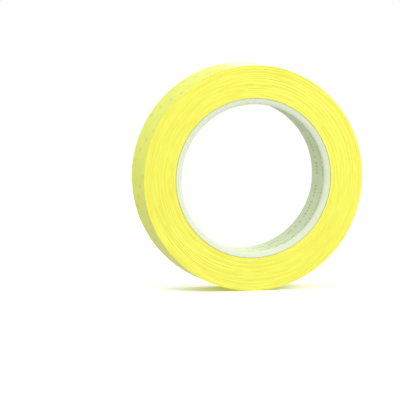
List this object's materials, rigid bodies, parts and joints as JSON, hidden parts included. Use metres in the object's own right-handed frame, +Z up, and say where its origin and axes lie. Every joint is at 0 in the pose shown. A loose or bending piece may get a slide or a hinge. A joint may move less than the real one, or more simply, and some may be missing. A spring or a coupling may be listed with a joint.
{
  "type": "tape roll",
  "caption": "Roll of yellow film tape wound on a hollow paper core, with a free end that peels off the roll.",
  "frame": {"origin": "centre of the core's bore, at the middle of the tape's width", "axes": "Y is the roll's axis, with the front side at -Y; +Z is up, so the roll stands on its tread; +X is to the right seen from the front"},
  "size_m": [0.1164, 0.0254, 0.1165],
  "materials": {
    "liner_paper": "smooth white printed paper",
    "core_board": "cut edge of white board",
    "cover_paper": "smooth white paper",
    "tape_edges": "slit edges of wound film, satin with fine rings",
    "tape_film": "smooth yellow film, soft gloss"
  },
  "bodies": {
    "roll": {"core_liner": "liner_paper", "core_board_1": "core_board", "core_board_2": "core_board", "core_board_3": "core_board", "core_board_4": "core_board", "core_cover": "cover_paper", "wound_tape": "tape_edges", "outer_turn": "tape_film"},
    "tail_1": {"tail_1": "tape_film"},
    "tail_2": {"tail_2": "tape_film"},
    "tail_3": {"tail_3": "tape_film"},
    "tail_4": {"tail_4": "tape_film"},
    "tail_5": {"tail_5": "tape_film"}
  },
  "joints": [
    {"name": "tail_peel", "type": "hinge", "parent": "roll", "child": "tail_1", "pos_m": [-0.01507, 0, 0.05628], "axis": [0, -1, 0], "range_deg": [0, 120]},
    {"name": "tail_straighten_1", "type": "hinge", "parent": "tail_1", "child": "tail_2", "pos_m": [-0.0081, 0, 0.0577], "axis": [0, -1, 0], "range_deg": [0, 7]},
    {"name": "tail_straighten_2", "type": "hinge", "parent": "tail_2", "child": "tail_3", "pos_m": [-0.00101, 0, 0.05826], "axis": [0, -1, 0], "range_deg": [0, 7]},
    {"name": "tail_straighten_3", "type": "hinge", "parent": "tail_3", "child": "tail_4", "pos_m": [0.00609, 0, 0.05795], "axis": [0, -1, 0], "range_deg": [0, 7]},
    {"name": "tail_straighten_4", "type": "hinge", "parent": "tail_4", "child": "tail_5", "pos_m": [0.01311, 0, 0.05677], "axis": [0, -1, 0], "range_deg": [0, 7]}
  ],
  "couplings": [
    {"joint": "tail_straighten_1", "follows": "tail_peel", "ratio": 0.0583},
    {"joint": "tail_straighten_2", "follows": "tail_peel", "ratio": 0.0583},
    {"joint": "tail_straighten_3", "follows": "tail_peel", "ratio": 0.0583},
    {"joint": "tail_straighten_4", "follows": "tail_peel", "ratio": 0.0583}
  ]
}
